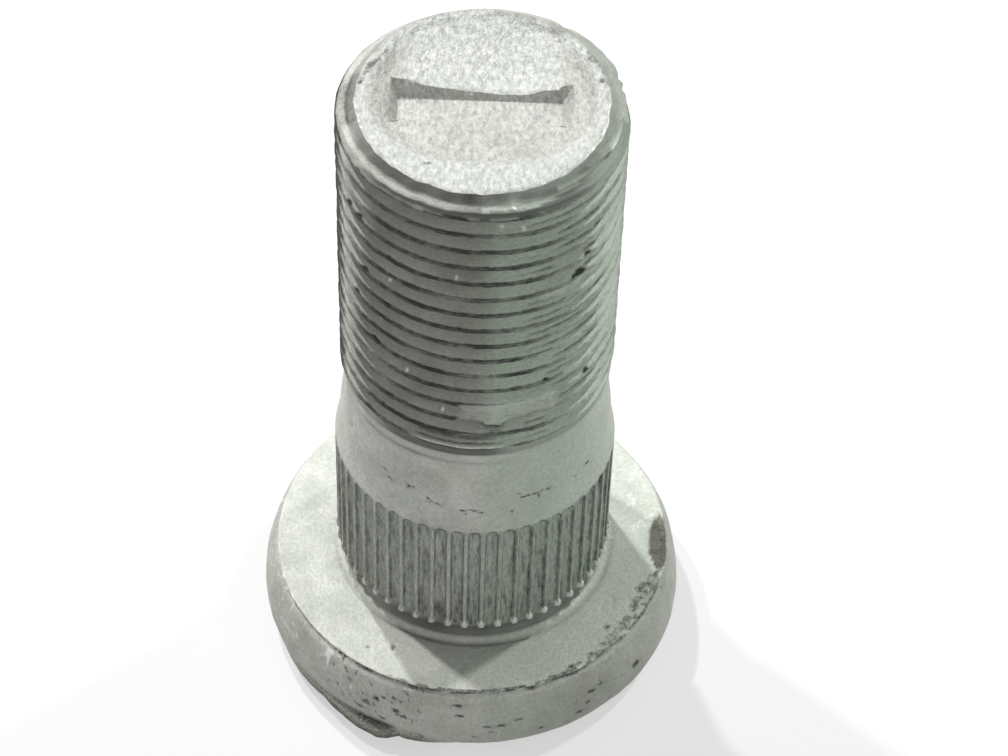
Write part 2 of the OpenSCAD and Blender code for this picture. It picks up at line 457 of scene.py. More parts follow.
def taper_row(azimuths, z, radius):
    row = []
    for azimuth in azimuths:
        place = at(azimuth, radius, z)
        around = azimuth % 360
        pit = pit_share(azimuth, z, radius, TAPER_PITS)
        # a faint line that the heading die left round the taper
        line = math.exp(-(((z - 21.75 - 0.1 * rough(place, 3, 22)) / 0.12) ** 2))
        line *= ease(-0.1, 0.5, rough(place, 2.2, 23))
        grime = pit * (0.8 + 0.7 * rough(place, 0.4, 24)) + 0.35 * line
        # the crease below the neck is deepest on the front left, where painted shade darkens it
        deep = 0.2 + 0.8 * ease(200, 228, around) * (1 - 0.75 * ease(248, 276, around))
        deep *= 1 - ease(276, 292, around)
        crease = 0.62 * math.exp(-(((z - 26.28) / 0.2) ** 2)) * deep * (0.85 + 0.4 * rough(place, 1.6, 26))
        film = neck_film(around) * ease(27.1, 27.2, z)
        film = max(film, crease)
        # painted highlight in a ring along the top of the ridge under the neck
        bright = 0.28 * math.exp(-(((z - 27.0) / 0.12) ** 2)) * (1 + rough(place, 1.2, 27))
        r = radius - 0.12 * pit - 0.03 * line + 0.012 * rough(place, 1.4, 25)
        r += 0.06 * (1 - deep) * math.exp(-(((z - 26.28) / 0.12) ** 2))
        row.append(skin.add(at(azimuth, r, z), grime=grime, bright=bright, film=film,
                            green=green_share(azimuth, place)))
    return row


taper_heights = [z for z, _ in TAPER if not 21.0 < z < 23.6]
taper_heights = sorted(taper_heights + [21.0 + 0.145 * i for i in range(1, 17)], reverse=True)
taper_at = thread_at[:-1]
bottom = previous[:-1]
previous = taper_row(taper_at, *TAPER[0])
skin.band(bottom, previous, FORGED)
for z in taper_heights[1:]:
    radius = between(TAPER[::-1], z)
    row = taper_row(taper_at, z, radius)
    skin.band(previous, row, FORGED)
    previous = row

# columns of one rib spacing, from a groove's middle, as shares of the spacing
half = GROOVE_SHARE / 2
RIB_COLUMNS = (-half, -half * 0.88, -half * 0.66, -half * 0.33, 0.0, half * 0.33, half * 0.66,
               half * 0.88, half, 0.47, 0.53)
step = 360 / RIBS
first = math.ceil(SEAM / step)
serration_at = [(first + i + RIB_PHASE + share) * step
                for i in range(RIBS) for share in RIB_COLUMNS]
serration_share = [share for _ in range(RIBS) for share in RIB_COLUMNS]
SERRATION_ROWS = (19.5, 19.38, 19.26, 19.14, 19.0, 18.8, 18.4, 17.8, 17.0, 16.2, 15.4, 14.6,
                  13.8, 13.0, 12.2, 11.4, 10.7, 10.1, 9.6, 9.25, 9.0, 8.85, 8.72, 8.6, 8.5)


def serration_row(z):
    row = []
    for azimuth, share in zip(serration_at, serration_share):
        rib = round((azimuth / step) - share - RIB_PHASE)
        unevenness = rough((rib * 3.1, 0, 0), 1.0, 30)
        across = abs(share) / half
        inside = across < 0.999
        arch = SERRATION_Z - 0.1 - 0.16 * unevenness - ARCH_H * across ** 3
        reach = ease(0.0, 0.3, arch - z) if inside else 0.0
        bowl = (1 - across ** 5) if inside else 0.0
        place = at(azimuth, SERRATION_R, z)
        streak = rough((place[0], place[1], z * 0.12), 0.24, 31)
        depth = GROOVE_DEPTH * reach * bowl + 0.03 * reach * streak
        right = ease(268, 290, azimuth % 360)
        # painted shade in the grooves, with streaks drawn along them
        grime = reach * bowl * (0.34 + 0.5 * streak + 0.12 * rough(place, 2.0, 32))
        bright = 0.0
        if 0.8 < across < 0.95:
            # painted shade along the walls and the arch of each groove
            grime = max(grime, reach * (0.62 + 0.25 * streak + 0.15 * rough(place, 1.5, 33)))
        grime = max(grime, 0.85 * math.exp(-(((arch - z) / 0.15) ** 2)) * (across < 1.001))
        grime += 0.12 * inside * ease(12.5, 9.5, z) * ease(256, 268, azimuth % 360) * (1 - 0.7 * right)
        grime *= 1 - 0.2 * ease(244, 215, azimuth % 360)
        # painted highlight on the rib tops on the left half, and painted shade on one side of each rib on the
        # right half
        if not inside:
            side = 1.0 if 0 < share < 0.48 else 0.35 if share > 0.5 else 0.0
            grime = max(0.58 * right * side, 0.34 * (1 - right) * (across < 1.01))
            grime *= ease(0.0, 0.4, SERRATION_Z - z)
            bright = 0.42 * (1 - right) * ease(200, 230, azimuth % 360) * (across > 1.01)
        radius = SERRATION_R - depth - (0.03 if 0.45 < abs(share) < 0.49 else 0.0)
        # the toe: a small bare mound at the foot of each rib, wider at its foot
        off = abs(abs(share) - 0.5)
        if off < 0.25:
            toe = ease(9.2 - 1.5 * off, 9.05 - 1.5 * off, z) * (1.0 if off < 0.2 else 0.3)
            rise = 0.1 + 0.1 * ease(232, 250, azimuth % 360)
            radius += (SERRATION_R + rise - radius) * toe * (1.0 if off < 0.12 else 0.85)
            shine = (0.95 + 0.25 * unevenness) * (0.62 + 0.6 * ease(250, 290, azimuth % 360))
            bright = max(bright * (1 - toe), shine * ease(0.15, 0.6, toe))
            grime *= 1 - ease(0.1, 0.5, toe)
        row.append(skin.add(at(azimuth, radius, z), grime=grime, bright=bright,
                            green=green_share(azimuth, place)))
    return row


row = serration_row(SERRATION_ROWS[0])
skin.lace(previous, taper_at, row, serration_at, FORGED)
previous = row
for z in SERRATION_ROWS[1:]:
    row = serration_row(z)
    skin.band(previous, row, SERRATED)
    previous = row


# undercut and bearing face
# outline from the feet of the ribs down and out to the bearing face:
# radius, height, painted shade
UNDERCUT = ((10.3, 8.34, 0.8), (10.0, 8.15, 0.9), (9.86, 7.8, 0.88), (9.85, 7.45, 0.86),
            (9.89, 7.22, 0.86), (9.98, 7.09, 0.84), (10.1, 7.04, 0.66), (10.22, 7.01, 0.2),
            (10.36, 6.95, 0.0), (10.5, 6.84, 0.08), (10.61, 6.72, 0.4), (10.69, 6.62, 0.76),
            (10.76, 6.57, 0.8), (10.86, 6.58, 0.3), (11.02, 6.6, 0.0))
head_at = columns(0.75, 2.0)

# pits and stains on the bearing face: azimuth, radius, reach round, reach out
BEARING_PITS = (
    (220.4, 10.6, 0.35, 0.22), (229.5, 12.2, 0.3, 0.14), (347.0, 14.6, 0.8, 0.3),
    (351.0, 14.85, 0.6, 0.2), (326.0, 14.2, 0.9, 0.35),
    (334.0, 14.0, 0.8, 0.4), (321.0, 13.6, 0.5, 0.25), (316.5, 14.3, 0.9, 0.3),
    (311.0, 14.5, 1.2, 0.25), (304.0, 14.6, 1.3, 0.2), (340.0, 13.8, 0.6, 0.4),
    (344.0, 14.3, 0.8, 0.4), (297.0, 14.75, 1.2, 0.12), (332.0, 12.6, 0.25, 0.12),
    (212.0, 12.8, 0.2, 0.1), (236.0, 13.6, 0.25, 0.12), (243.5, 12.5, 0.2, 0.1),
)


def bearing_grime(azimuth, radius, place):
    share = 0.0
    for where, out, round_reach, out_reach in BEARING_PITS:
        run = math.radians(turn_gap(azimuth, where)) * radius
        if abs(run) < 3 * round_reach and abs(radius - out) < 3 * out_reach:
            share = max(share, math.exp(-((run / round_reach) ** 2)
                                        - (((radius - out) / out_reach) ** 2)))
    return share * (0.75 + 0.9 * rough(place, 0.5, 40))


def head_row(radius, z, grime, edge=0.0):
    row = []
    for azimuth in head_at:
        place = at(azimuth, radius, z)
        around = azimuth % 360
        r = radius + edge * (0.05 * rough(place, 1.1, 41) + 0.04 * rough(place, 0.5, 42))
        lift = 0.012 * rough(place, 1.3, 43) * ease(10.9, 11.3, radius)
        dirt_and_shade = grime
        scale = drag_and_ring_highlight = film = 0.0
        if radius > 11:
            stain = bearing_grime(azimuth, radius, place)
            # crumbled rim along the front right
            inner = 14.72 - 0.35 * ease(290, 312, around) - 0.55 * ease(312, 326, around)
            crumbs = ease(255, 275, around) * (1 - ease(342, 352, around)) * ease(inner, inner + 0.22, radius)
            crumbs *= ease(-0.02, 0.25, rough(place, 0.32, 46) + 0.5 * rough(place, 0.9, 47))
            # painted shade in a thin broken line along the edge on the front
            line = ease(14.8, 14.87, radius) * ease(236, 262, around) * (1 - ease(340, 352, around))
            line *= ease(-0.4, 0.0, rough(place, 0.8, 49))
            dirt_and_shade = max(dirt_and_shade, 0.8 * stain, 0.56 * crumbs, 0.62 * line)
            lift -= 0.05 * max(stain, 0) + 0.06 * crumbs
            # grey patch where the face was pressed on the right
            x, y = place[0] - 14.45, place[1] + 0.15
            patch = 1 - math.hypot(x / 0.78, y / 2.75) + 0.16 * rough(place, 0.5, 48)
            scale = ease(-0.05, 0.12, patch)
            dirt_and_shade = max(dirt_and_shade, scale * (0.42 + 0.3 * rough(place, 0.6, 62)))
            lift -= 0.04 * scale
            # bare streaks where the face was dragged, behind that patch
            drag_and_ring_highlight = ease(26, 12, abs(turn_gap(azimuth, 14))) * ease(11.6, 12.4, radius)
            drag_and_ring_highlight *= 0.5 * (1 - scale) * ease(0.0, 0.35, rough((place[0], place[1] * 0.6, z), 0.6, 63))
        else:
            # painted shade in the undercut and in the crease round the fillet ring on the front, and a
            # painted highlight along the ring
            film, dirt_and_shade = dirt_and_shade, 0.0
            front = ease(222, 244, around)
            if radius > 10.45:
                film *= front * (1 - 0.6 * ease(276, 300, around))
            else:
                film *= 0.5 + 0.5 * front * (1 - 0.25 * ease(276, 300, around))
                # painted highlight along the fillet ring, strongest on the front right
                drag_and_ring_highlight = 0.46 * front * ease(274, 292, around) * (1 - 0.5 * ease(318, 340, around))
                drag_and_ring_highlight *= math.exp(-(((radius - 10.33) / 0.12) ** 2))
            film *= 0.95 + 0.2 * rough(place, 1.8, 44)
        bright = max(drag_and_ring_highlight, edge * (0.3 + 1.1 * rough(place, 0.9, 45)) * (1 - min(dirt_and_shade, 1.0)))
        row.append(skin.add(at(azimuth, r, z + lift), grime=dirt_and_shade, bright=bright, scale=scale, film=film,
                            green=0.6 * green_share(azimuth, place)))
    return row


row = head_row(*UNDERCUT[0])
skin.lace(previous, serration_at, row, head_at, SERRATED)
previous = row
for radius, z, grime in UNDERCUT[1:]:
    row = head_row(radius, z, grime)
    skin.band(previous, row, FORGED)
    previous = row
for radius in (11.4, 11.9, 12.5, 13.1, 13.55, 13.85, 14.1, 14.3, 14.48, 14.63, 14.76, 14.87):
    row = head_row(radius, BEARING_Z, 0.0)
    skin.band(previous, row, FORGED)
    previous = row
for radius, z, grime, edge in ((14.96, 6.585, 0.0, 0.7), (15.02, 6.53, 0.1, 1.0)):
    row = head_row(radius, z, grime, edge)
    skin.band(previous, row, FORGED)
    previous = row


# side of the head
# flash squeezed out under the head: azimuth and reach in mm
FLASH = ((198, 0.0), (204.5, 0.08), (216.5, 0.3), (230, 0.52), (236, 0.75), (241.5, 1.02),
         (246.5, 1.16), (249, 0.98), (252, 0.4), (256, 0.46), (262, 0.28), (268, 0.0))
# pits on the side: azimuth, height, reach round, reach up
SIDE_PITS = (
    (267.9, 5.45, 0.55, 0.12), (268.6, 4.5, 0.4, 0.1), (269.0, 3.6, 0.3, 0.09),
    (272.5, 2.3, 0.35, 0.12), (279.8, 3.55, 0.6, 0.13), (276.0, 3.45, 0.35, 0.1),
    (277.0, 2.9, 0.35, 0.11), (284.5, 3.9, 0.4, 0.06), (291.0, 2.4, 0.25, 0.1),
    (322.8, 3.6, 0.5, 0.3), (306.4, 4.1, 0.35, 0.2), (305.0, 3.2, 0.25, 0.12),
    (309.5, 4.4, 0.3, 0.12), (302.0, 2.6, 0.4, 0.12), (298.0, 2.0, 0.3, 0.12),
    (250.0, 5.0, 0.2, 0.2), (252.2, 4.9, 0.35, 0.12), (251.0, 3.9, 0.35, 0.25),
    (253.0, 3.5, 0.3, 0.12), (258.0, 1.9, 0.35, 0.15), (255.5, 1.7, 0.3, 0.1),
    (245.0, 4.4, 0.3, 0.2), (242.0, 3.6, 0.45, 0.2), (240.5, 2.9, 0.4, 0.14),
    (247.0, 2.6, 0.35, 0.1), (236.0, 4.9, 0.35, 0.15), (283.0, 1.6, 0.4, 0.12),
)


# how brown the side is: azimuth and share
SIDE_BROWN = ((0, 0.3), (90, 0.22), (180, 0.3), (205, 0.3), (228, 0.16), (245, 0.14), (268, 0.2),
              (288, 0.3), (305, 0.42), (325, 0.36), (345, 0.3), (360, 0.3))


def side_point(azimuth, radius, z):
    """Point, wear and painted shade of the bulged side, with its pits, scale and flash."""
    place = at(azimuth, radius, z)
    r = radius + ease(6.3, 5.2, z) * (0.1 * rough(place, 6.0, 50) + 0.05 * rough(place, 2.4, 51))
    r += 0.025 * rough(place, 0.8, 52)
    flash = between(FLASH, azimuth % 360)
    squeezed = ease(1.95, 1.15, z)
    r += flash * squeezed * (1 + 0.15 * rough(place, 0.9, 53))
    fold = flash * math.exp(-(((z - 1.85) / 0.28) ** 2))
    grime = pit_share(azimuth, z, radius, SIDE_PITS) * (1.1 + 0.6 * rough(place, 0.4, 54))
    # worm-like scale marks below the edge, thickest on the front left
    left = ease(222, 232, azimuth) * (1 - ease(254, 266, azimuth))
    spread = left * ease(2.0, 3.2, z) + 0.45 * ease(266, 300, azimuth) * ease(0.9, 2.2, z)
    worms = abs(rough(place, 0.42, 55)) + abs(rough(place, 1.1, 56)) * 0.3
    grime = max(grime, 0.74 * spread * (1 - ease(0.03, 0.15, worms)))
    pale = abs(rough(place, 0.6, 59)) + abs(rough(place, 1.5, 60)) * 0.3
    pale = spread * (1 - ease(0.03, 0.12, pale))
    # painted shade in a crisp broken line in the small step just below the edge
    top = math.exp(-(((z - 6.3 + 0.1 * rough(place, 1.4, 61)) / 0.1) ** 2))
    front = 0.45 + 0.55 * ease(214, 228, azimuth) * (1 - ease(300, 318, azimuth))
    grime = max(grime, top * front * (0.8 + 0.8 * rough(place, 0.9, 57)))
    # painted shade in the fold over the flash and along the foot of the side; the flash lip itself is darker
    grime = max(grime, 0.8 * fold, 0.5 * ease(0.9, 0.1, z), 0.58 * squeezed * ease(0.1, 0.5, flash))
    r -= 0.1 * min(grime, 1.0) * ease(1.0, 2.0, z) + 0.12 * fold
    bright = 0.55 * pale
    if 150 < azimuth < 240:
        # thin runs where the coat pooled on the left
        bright = 0.9 * (1 - ease(0.0, 0.05, abs(rough(place, 2.2, 58)))) * ease(3.2, 4.4, z)
    brown = between(SIDE_BROWN, azimuth) * (1 + 0.35 * rough(place, 1.8, 64))
    scale = max(squeezed * ease(0.05, 0.4, flash), 0.5 * ease(1.9, 0.6, z), brown * ease(6.5, 5.9, z))
    return at(azimuth, r, z), grime, bright, scale


def side_row(radius, z):
    row = []
    for azimuth in head_at:
        around = azimuth % 360
        point, grime, bright, scale = side_point(around, radius, z)
        row.append(skin.add(point, grime=grime, bright=bright, scale=scale,
                            green=0.35 * green_share(azimuth, point)))
    return row


side_rows = [(14.99, 6.44), (14.98, 6.34), (15.02, 6.22)]
side_rows += [(HEAD_R - FLARE_R + math.sqrt(FLARE_R ** 2 - (z - UNDER_R) ** 2), z)
              for z in [6.05 - 0.215 * i for i in range(18)]]
side_rows += [(HEAD_R - UNDER_R + UNDER_R * math.cos(a), UNDER_R - UNDER_R * math.sin(a))
              for a in [math.radians(90 * i / 12) for i in range(1, 13)]]
for radius, z in side_rows:
    row = side_row(radius, z)
    skin.band(previous, row, FORGED)
    previous = row

# the underside is plain, with an even coat of scale and a little dirt
for radius in (12.6, 11.0, 8.5, 5.5, 2.5):
    row = [skin.add(at(a, radius, 0.0), scale=0.35, grime=0.12) for a in head_at]
    skin.band(previous, row, FORGED)
    previous = row
middle = skin.add((0.0, 0.0, 0.0), scale=0.35, grime=0.12)
for j in range(len(previous)):
    skin.face(FORGED, previous[j], middle, previous[(j + 1) % len(previous)])


# the end face
# small dark marks on the face, the last two of them painted shade on the oval's right-back wall: place, reach
# in mm, share
FACE_MARKS = (
    (4.7, 7.0, 0.3, 0.9), (7.95, 2.9, 0.22, 0.9), (8.05, 2.2, 0.25, 0.9), (-5.0, 6.2, 0.12, 0.7),
    (-3.9, 1.2, 0.12, 0.6), (-3.4, -5.9, 0.16, 0.8), (7.0, 4.0, 0.3, 0.5), (6.4, 5.0, 0.25, 0.5),
)


def oval_inset(u, v):
    """Distance inside the pressed oval's edge."""
    return OVAL_R - math.hypot(u - min(max(u, -OVAL_HALF), OVAL_HALF), v - OVAL_Y)


def oval_wall(u, v):
    """Width of the oval's sloping wall: widest at its ends."""
    angle = math.atan2(v - OVAL_Y, u)
    return (1.0 + 0.5 * max(0.0, math.cos(angle - math.radians(180))) ** 2
            + 0.4 * max(0.0, math.cos(angle)) ** 2)


def face_height(u, v):
    """Height over the rim plane, without the slot."""
    share = min(max(oval_inset(u, v) / oval_wall(u, v), 0.0), 1.0)
    pressed = -OVAL_DEPTH * (0.5 * share + 0.5 * ease(0, 1, share))
    torn = between(TORN_LINE, u) + max(v - 2.0, 0.0) ** 2 / 32
    torn = min(torn, 0.0) * ease(0.0, 0.7, RIM_R - math.hypot(u, v))
    behind = ease(0.7, 1.3, v) * ease(6.9, 6.1, abs(u + 0.1) + 0.1 * v)
    return pressed + (torn - pressed) * behind


def slot_outside(u, v):
    """How far up the slot's walls a place is: 0 on the floor, 1 at the oval's floor."""
    left, right, front, back = SLOT
    return max(0.0, (left - u) / SLOT_RUN[0], (u - right) / SLOT_RUN[1],
               (front - v) / SLOT_RUN[2], (v - back) / SLOT_RUN[3])


def slot_height(u, v):
    return SLOT_DEPTH * (slot_outside(u, v) - 1) - OVAL_DEPTH


def rounded(u, v):
    """Height with the slot, whose ends the die left with soft edges."""
    face, slot = face_height(u, v), slot_height(u, v)
    soft = 0.04 + 0.8 * ease(5.1, 5.6, abs(u + 0.2)) * ease(2.3, 1.3, v)
    near = max(soft - abs(face - slot), 0.0) / soft
    return min(face, slot) - near * near * soft / 4


def grainy_share(u, v):
    """Where the die never touched the sheared steel: the land and behind the slot."""
    torn = 0.5 * rough((u, v, 0), 0.8, 66) + 0.3 * rough((u, v, 0), 0.3, 67)
    behind = ease(-0.3, 0.3, 5.6 - abs(u + 0.1) - 0.12 * v + torn) * ease(1.7, 2.3, v)
    return max(1 - ease(0.0, 0.5, oval_inset(u, v) + 0.4 * torn), behind)


def slot_loops(spacing=0.3):
    """The slot's floor line, and the line where its walls come out above."""
    left, right, front, back = SLOT
    corners = [(left, front), (right, front), (right, back), (left, back)]
    low = []
    for (a, b), (c, d) in zip(corners, corners[1:] + corners[:1]):
        parts = max(2, int(math.hypot(c - a, d - b) / spacing))
        low += [(a + (c - a) * i / parts, b + (d - b) * i / parts) for i in range(parts)]
    top = []
    for u, v in low:
        away_u = -SLOT_RUN[0] if u == left else SLOT_RUN[1] if u == right else 0.0
        away_v = -SLOT_RUN[2] if v == front else SLOT_RUN[3] if v == back else 0.0
        t = 1.0
        for _ in range(12):
            here = face_height(u + away_u * t, v + away_v * t)
            t += 0.7 * ((here + OVAL_DEPTH) / SLOT_DEPTH + 1 - t)
        top.append((u + away_u * t, v + away_v * t))
    return low, top


def near_loop(u, v, loop, reach):
    return any(abs(u - a) < reach and abs(v - b) < reach for a, b in loop)


rim_loop = []
for x, y, z in rims[:-1]:
    rim_loop.append((x, y / math.cos(FACE_TILT)))
slot_floor, slot_top = slot_loops()
loops = [rim_loop, slot_top, slot_floor]
plan = [Vector(p) for loop in loops for p in loop]
edges = []
start = 0
for loop in loops:
    edges += [(start + i, start + (i + 1) % len(loop)) for i in range(len(loop))]
    start += len(loop)
# net of points over the face: spacing, its rows' share of that, and how far each
# point is moved off the net and kept from the lines of the rim and the slot
spacing = 0.24
ROW_SHARE = 0.866
NET_SHIFT = 0.07
RIM_CLEAR = 0.28
LINE_CLEAR = 0.12
rows = int(2 * RIM_R / (spacing * ROW_SHARE)) + 2
for i in range(rows):
    for j in range(rows):
        u = (j - rows / 2 + 0.5 * (i % 2)) * spacing
        v = (i - rows / 2) * spacing * ROW_SHARE
        u += NET_SHIFT * rough((u, v, 1), 0.3, 60)
        v += NET_SHIFT * rough((u, v, 5), 0.3, 61)
        if math.hypot(u, v) > RIM_R - RIM_CLEAR:
            continue
        if near_loop(u, v, slot_floor, LINE_CLEAR) or near_loop(u, v, slot_top, LINE_CLEAR):
            continue
        plan.append(Vector((u, v)))
flat, _, triangles, origins, _, _ = delaunay_2d_cdt(plan, edges, [], 1, 1e-6)
face_points = []
for point, origin in zip(flat, origins):
    u, v = point
    if origin and origin[0] < len(rim_loop):
        face_points.append(skin.add(rims[origin[0]], **rim_wear(rims[origin[0]])))
        continue
    w = rounded(u, v)
    grainy = grainy_share(u, v)
    deep = slot_height(u, v) <= face_height(u, v) + 0.001
    pebble = grainy * (0.05 * rough((u, v * 0.6, 0), 0.4, 62) + 0.05 * rough((u, v * 0.6, 0), 1.2, 63))
    pebble += 0.012 * rough((u, v, 0), 0.8, 64)
    pebble *= ease(RIM_R, RIM_R - 0.6, math.hypot(u, v))
    if deep:
        grainy = 0.3 * (slot_outside(u, v) < 0.01)
        pebble *= 0.3
    w += pebble
    lip = math.exp(-((oval_inset(u, v) / 0.13) ** 2)) * rough((u, v, 0), 0.9, 65)
    # painted shade in the slot's floor and lower walls, and dirt in the rim's cracks
    grime = max(0.12 * (slot_outside(u, v) < 0.6), crack_share(u, v))
    w -= 0.08 * min(grime, 1.0)
    # the left of the face is browner: less of the coat stuck there
    dull = 0.1 * ease(-5.6, -6.6, u) * ease(-5.5, -2.0, v) + 0.14 * ease(6.3, 7.3, u)
    for a, b, reach, share in FACE_MARKS:
        grime = max(grime, share * math.exp(-(((u - a) ** 2 + (v - b) ** 2) / reach ** 2)))
    face_points.append(skin.add(
        (u, v * math.cos(FACE_TILT) - w * math.sin(FACE_TILT),
         FACE_Z + v * math.sin(FACE_TILT) + w * math.cos(FACE_TILT)),
        sheared=grainy * (1 - dull), grime=grime, scale=dull,
        bright=max(0.8 * lip * (1 - 2.5 * dull), 0.34 * grainy * ease(1.6, 3.5, v))))
for a, b, c in triangles:
    pa, pb, pc = flat[a], flat[b], flat[c]
    turn = (pb - pa).cross(pc - pa)
    if abs(turn) < 1e-9:
        continue
    corners = (a, b, c) if turn > 0 else (a, c, b)
    skin.face(SHEARED, *[face_points[i] for i in corners])


# one closed mesh
MERGE_MM = 0.004
SLIVER_MM = 0.002
SHARP_DEG = 38
mesh = bpy.data.meshes.new("stud")
mesh.from_pydata([[c * MM for c in p] for p in skin.points], [], skin.faces)
for name, values in skin.wear_and_painted_light.items():
    mesh.attributes.new(name, "FLOAT", "POINT").data.foreach_set("value", values)
mesh.polygons.foreach_set("material_index", skin.zones)
work = bmesh.new()
work.from_mesh(mesh)
bmesh.ops.remove_doubles(work, verts=work.verts, dist=MERGE_MM * MM)
bmesh.ops.dissolve_degenerate(work, edges=work.edges, dist=SLIVER_MM * MM)
bmesh.ops.recalc_face_normals(work, faces=work.faces)
work.to_mesh(mesh)
work.free()
mesh.polygons.foreach_set("use_smooth", [True] * len(mesh.polygons))
mesh.set_sharp_from_angle(angle=math.radians(SHARP_DEG))
stud = bpy.data.objects.new("stud", mesh)
bpy.context.scene.collection.objects.link(stud)
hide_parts("wheel_stud")
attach(stud, "root")


# materials
def linear(code):
    """Linear colour of an sRGB hex value."""
    parts = [int(code[i:i + 2], 16) / 255 for i in (1, 3, 5)]
    return tuple(c / 12.92 if c <= 0.04045 else ((c + 0.055) / 1.055) ** 2.4 for c in parts) + (1.0,)


def node(tree, kind, inputs=None, **settings):
    """Adds a node with its settings and links."""
    made = tree.nodes.new(kind)
    for name, value in settings.items():
        setattr(made, name, value)
    for socket, value in (inputs or {}).items():
        if isinstance(value, bpy.types.NodeSocket):
            tree.links.new(value, made.inputs[socket])
        else:
            made.inputs[socket].default_value = value
    return made


def zinc_flake_coat(name, pale, dull, green_cast, dirt_and_shade, speck_mm, speck, grain_um, ragged_mm=0.18,
                    ragged=0.3, drawn=(1.0, 1.0, 1.0), cloud_mm=2.6):
    """Matt zinc-flake coat, dipped and spun over steel: a dry grey with darker
    clouds, dirt where cloths don't reach, bare metal where edges are rubbed, and
    painted shade, painted highlights and painted green-tinted light from the masks."""
    material = bpy.data.materials.new(name)
    material.use_nodes = True
    tree = material.node_tree
    tree.nodes.clear()
    place = node(tree, "ShaderNodeTexCoord").outputs["Object"]
    mm = node(tree, "ShaderNodeVectorMath", {0: place, 1: [1000 * d for d in drawn]},
              operation="MULTIPLY").outputs[0]
    round_mm = node(tree, "ShaderNodeVectorMath", {0: place, 1: (1000, 1000, 1000)},
                    operation="MULTIPLY").outputs[0]
    wear_and_painted_light = {part: node(tree, "ShaderNodeAttribute", attribute_name=part).outputs["Fac"]
            for part in ("grime", "bright", "sheared", "scale", "green", "film")}

    cloud = node(tree, "ShaderNodeTexNoise", {"Vector": round_mm, "Scale": 1 / cloud_mm, "Detail": 6,
                                              "Roughness": 0.68}).outputs["Fac"]
    cloud = node(tree, "ShaderNodeMapRange", {0: cloud, 1: 0.33, 2: 0.67}).outputs[0]
    specks = node(tree, "ShaderNodeTexNoise", {"Vector": mm, "Scale": 1 / speck_mm, "Detail": 3,
                                               "Roughness": 0.75}).outputs["Fac"]
    specks = node(tree, "ShaderNodeMapRange", {0: specks, 1: 0.32, 2: 0.68, 3: 1 - speck,
                                               4: 1 + speck * 0.7}).outputs[0]
    coat = node(tree, "ShaderNodeMix", {0: cloud, 6: linear(dull), 7: linear(pale)},
                data_type="RGBA").outputs[2]
    # painted green-tinted light: the coat turns greener on the front right, and the thread lighter there
    green = node(tree, "ShaderNodeMix", {0: wear_and_painted_light["green"], 6: coat, 7: linear(green_cast)},
                 data_type="RGBA").outputs[2]
    scale = node(tree, "ShaderNodeMix", {0: wear_and_painted_light["scale"], 6: green, 7: linear("#77776a")},
                 data_type="RGBA").outputs[2]
    crystal = node(tree, "ShaderNodeMix", {0: wear_and_painted_light["sheared"], 6: scale, 7: linear("#c4c6c1")},
                   data_type="RGBA").outputs[2]
    speckled = node(tree, "ShaderNodeMix", {0: 1.0, 6: crystal, 7: specks},
                    data_type="RGBA", blend_type="MULTIPLY").outputs[2]

    # an even film of painted shade, then dirt and painted shade with a ragged edge where fine noise breaks it
    # up
    filmed = node(tree, "ShaderNodeMix", {0: wear_and_painted_light["film"], 6: speckled, 7: linear(dirt_and_shade)},
                  data_type="RGBA").outputs[2]
    fray = node(tree, "ShaderNodeTexNoise", {"Vector": mm, "Scale": 1 / ragged_mm, "Detail": 4,
                                             "Roughness": 0.7}).outputs["Fac"]
    fray = node(tree, "ShaderNodeMapRange", {0: fray, 1: 0.3, 2: 0.7, 3: -ragged, 4: ragged}).outputs[0]
    dirt_and_shade_share = node(tree, "ShaderNodeMath", {0: wear_and_painted_light["grime"], 1: fray}, operation="ADD").outputs[0]
    dirt_and_shade_share = node(tree, "ShaderNodeMapRange", {0: dirt_and_shade_share, 1: 0.3, 2: 0.85}).outputs[0]
    soiled_and_shaded = node(tree, "ShaderNodeMix", {0: dirt_and_shade_share, 6: filmed, 7: linear(dirt_and_shade)},
                  data_type="RGBA").outputs[2]
    # bare metal where edges are rubbed, and painted highlights, both pale and metallic
    rubbed_and_highlight = node(tree, "ShaderNodeMath", {0: wear_and_painted_light["bright"], 1: fray}, operation="ADD").outputs[0]
    rubbed_and_highlight = node(tree, "ShaderNodeMapRange", {0: rubbed_and_highlight, 1: 0.35, 2: 0.75}).outputs[0]
    finished = node(tree, "ShaderNodeMix", {0: rubbed_and_highlight, 6: soiled_and_shaded, 7: linear("#dddfd9")},
                    data_type="RGBA").outputs[2]

    gloss = node(tree, "ShaderNodeMapRange", {0: cloud, 3: 0.62, 4: 0.5}).outputs[0]
    gloss = node(tree, "ShaderNodeMath", {0: dirt_and_shade_share, 1: 0.25, 2: gloss}, operation="MULTIPLY_ADD").outputs[0]
    metal = node(tree, "ShaderNodeMapRange", {0: rubbed_and_highlight, 3: 0.15, 4: 0.55}).outputs[0]

    grain = node(tree, "ShaderNodeTexNoise", {"Vector": mm, "Scale": 1 / speck_mm, "Detail": 4,
                                              "Roughness": 0.72}).outputs["Fac"]
    deep = node(tree, "ShaderNodeMath", {0: dirt_and_shade_share, 1: -0.8, 2: grain}, operation="MULTIPLY_ADD").outputs[0]
    bump = node(tree, "ShaderNodeBump", {"Strength": 1.0, "Distance": grain_um * 1e-6,
                                         "Height": deep}).outputs[0]
    shader = node(tree, "ShaderNodeBsdfPrincipled", {"Base Color": finished, "Roughness": gloss,
                                                     "Metallic": metal, "Normal": bump})
    node(tree, "ShaderNodeOutputMaterial", {0: shader.outputs[0]})
    return material


